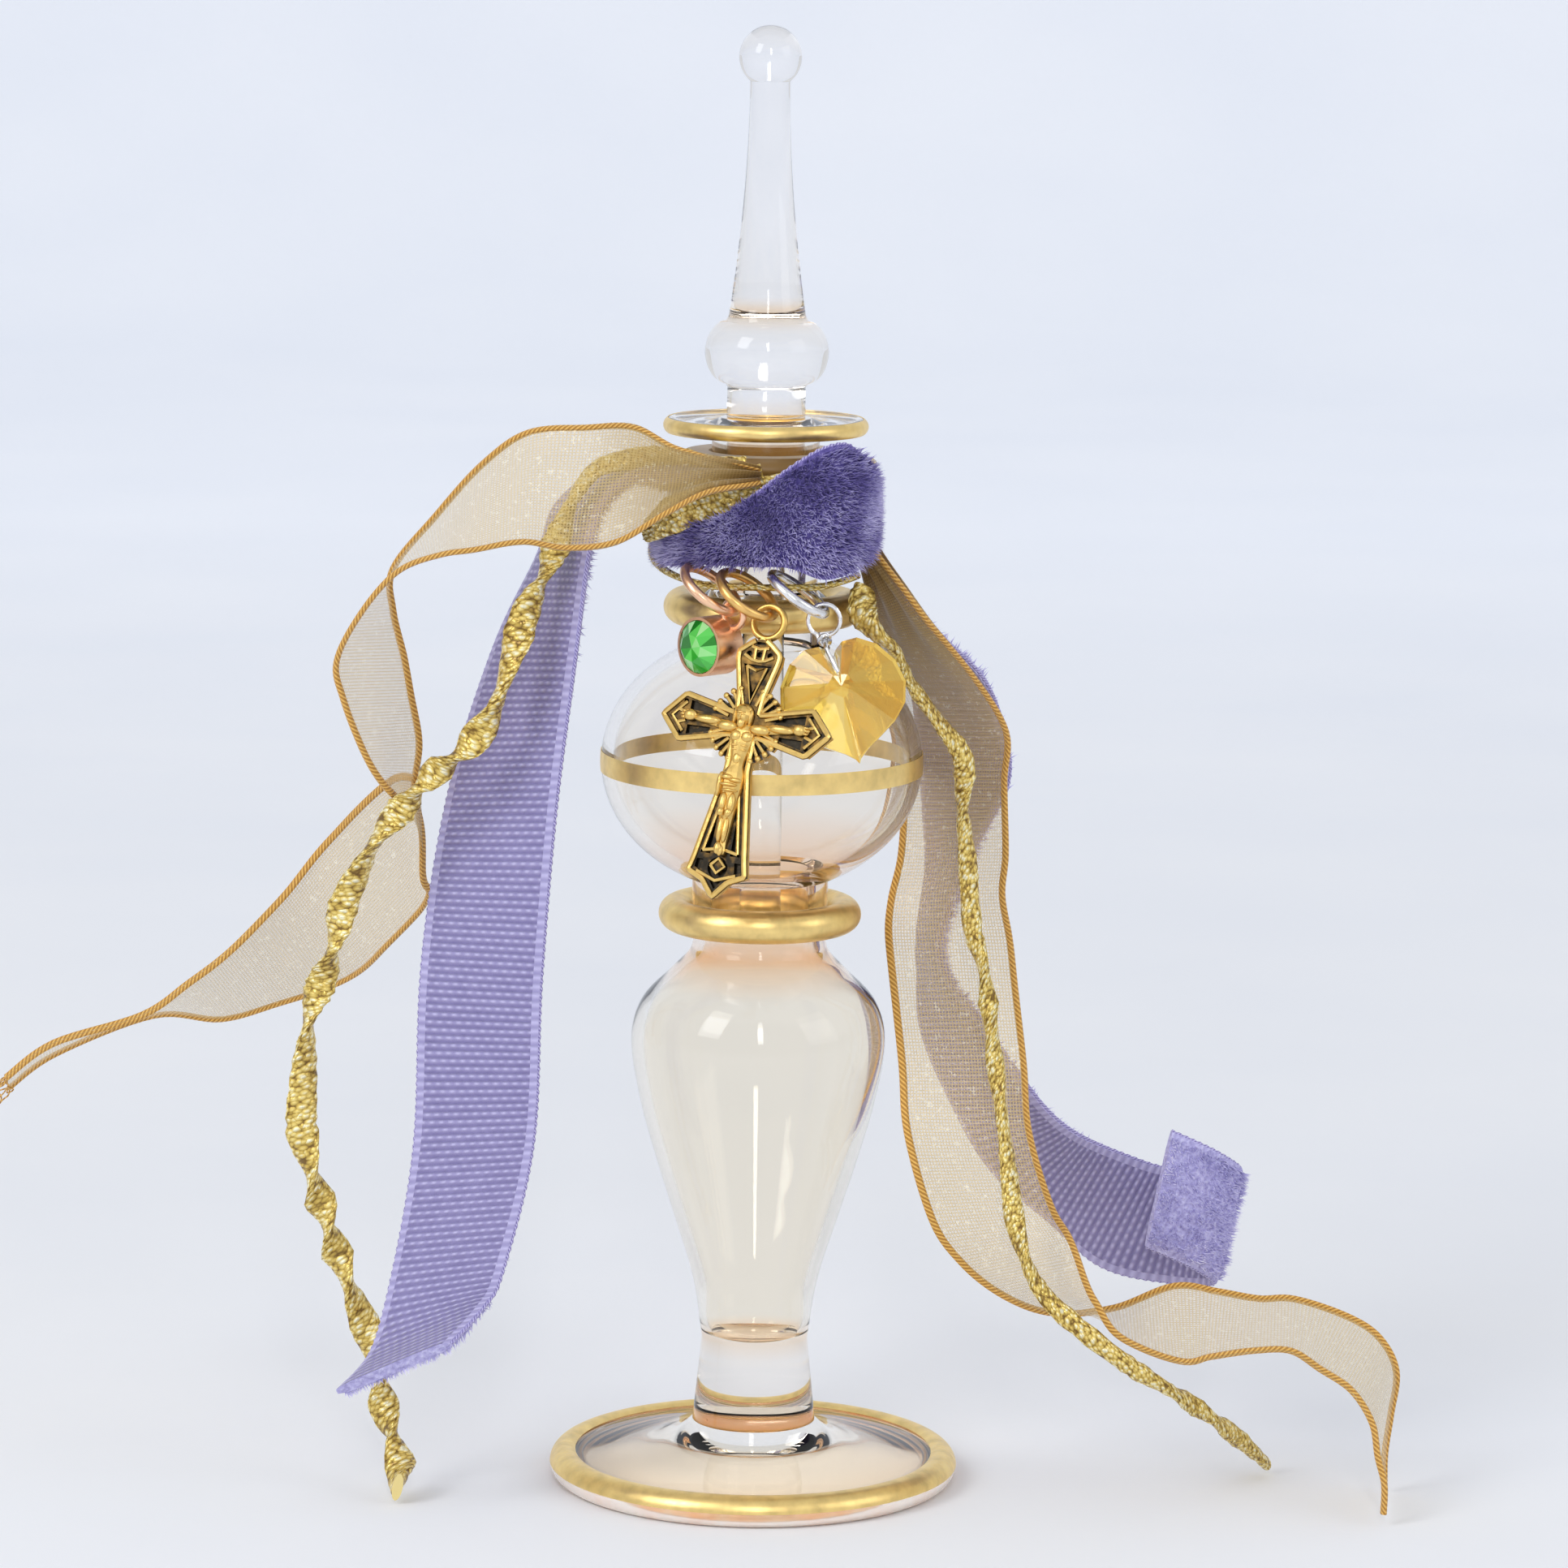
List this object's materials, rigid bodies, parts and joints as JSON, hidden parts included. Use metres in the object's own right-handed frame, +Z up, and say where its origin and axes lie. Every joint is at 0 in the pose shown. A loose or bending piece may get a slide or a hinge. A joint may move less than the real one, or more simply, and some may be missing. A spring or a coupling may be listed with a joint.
{
  "type": "holy water bottle",
  "caption": "Small glass bottle on a foot with a dabber stopper, ribbons and gold braid tied at the neck, and a crucifix, a heart and a crystal hung from rings.",
  "frame": {"origin": "centre of the foot's flat resting face", "axes": "+Z up the bottle's axis to the stopper's ball, -Y towards the front where the charms hang, +X to the right"},
  "size_m": [0.1183, 0.0387, 0.1204],
  "materials": {
    "clear_glass": "clear, with a pale champagne lustre",
    "gilt": "satin liquid gold over glass",
    "velvet": "velvet pile with a ribbed back",
    "organza": "sheer mesh with piped edges",
    "gold_braid": "metallic knit braid",
    "copper": "bright rose copper",
    "antique_brass": "antique brass, dark in the recesses",
    "silver": "bright silver",
    "green_glass": "faceted emerald green crystal",
    "amber_glass": "faceted amber crystal"
  },
  "bodies": {
    "bottle": {"foot": "clear_glass", "stem": "clear_glass", "vase": "clear_glass", "waist_ring": "gilt", "globe": "clear_glass", "neck_ring": "gilt", "neck": "clear_glass", "lip": "clear_glass", "organza_wrap": "organza", "organza_tail_left": "organza", "organza_tail_right": "organza", "velvet_wrap": "velvet", "velvet_tail_left": "velvet", "velvet_tail_right": "velvet", "braid_wrap": "gold_braid", "braid_tail_left": "gold_braid", "braid_tail_right": "gold_braid"},
    "stopper": {"stopper": "clear_glass", "dabber": "clear_glass"},
    "copper_ring": {"copper_jump_ring": "copper"},
    "brass_ring": {"brass_jump_ring": "antique_brass"},
    "silver_ring": {"silver_jump_ring": "silver"},
    "crystal_charm": {"crystal_cup": "copper", "green_crystal": "green_glass"},
    "crucifix_charm": {"crucifix": "antique_brass"},
    "heart_charm": {"heart_crystal": "amber_glass", "heart_wire": "silver"}
  },
  "joints": [
    {"name": "stopper_lift", "type": "slide", "parent": "bottle", "child": "stopper", "axis": [0, 0, 1], "range_m": [0, 0.06]},
    {"name": "copper_ring_swing", "type": "hinge", "parent": "bottle", "child": "copper_ring", "pos_m": [-0.00378, -0.0085, 0.0759], "axis": [-0.9136, 0.4067, 0], "range_deg": [0, 10]},
    {"name": "brass_ring_swing", "type": "hinge", "parent": "bottle", "child": "brass_ring", "pos_m": [-0.00113, -0.00923, 0.0759], "axis": [-0.9925, 0.1219, 0], "range_deg": [0, 10]},
    {"name": "silver_ring_swing", "type": "hinge", "parent": "bottle", "child": "silver_ring", "pos_m": [0.00241, -0.00898, 0.0759], "axis": [-0.9659, -0.2588, 0], "range_deg": [0, 3]},
    {"name": "crystal_swing", "type": "hinge", "parent": "copper_ring", "child": "crystal_charm", "pos_m": [-0.00235, -0.01063, 0.07412], "axis": [-0.9136, 0.4067, 0], "range_deg": [0, 25]},
    {"name": "crucifix_swing", "type": "hinge", "parent": "brass_ring", "child": "crucifix_charm", "pos_m": [0.00048, -0.01156, 0.07382], "axis": [-0.5, -0.866, 0], "range_deg": [0, 25]},
    {"name": "heart_swing", "type": "hinge", "parent": "silver_ring", "child": "heart_charm", "pos_m": [0.00489, -0.01042, 0.07401], "axis": [0, -1, 0], "range_deg": [0, 15]}
  ]
}
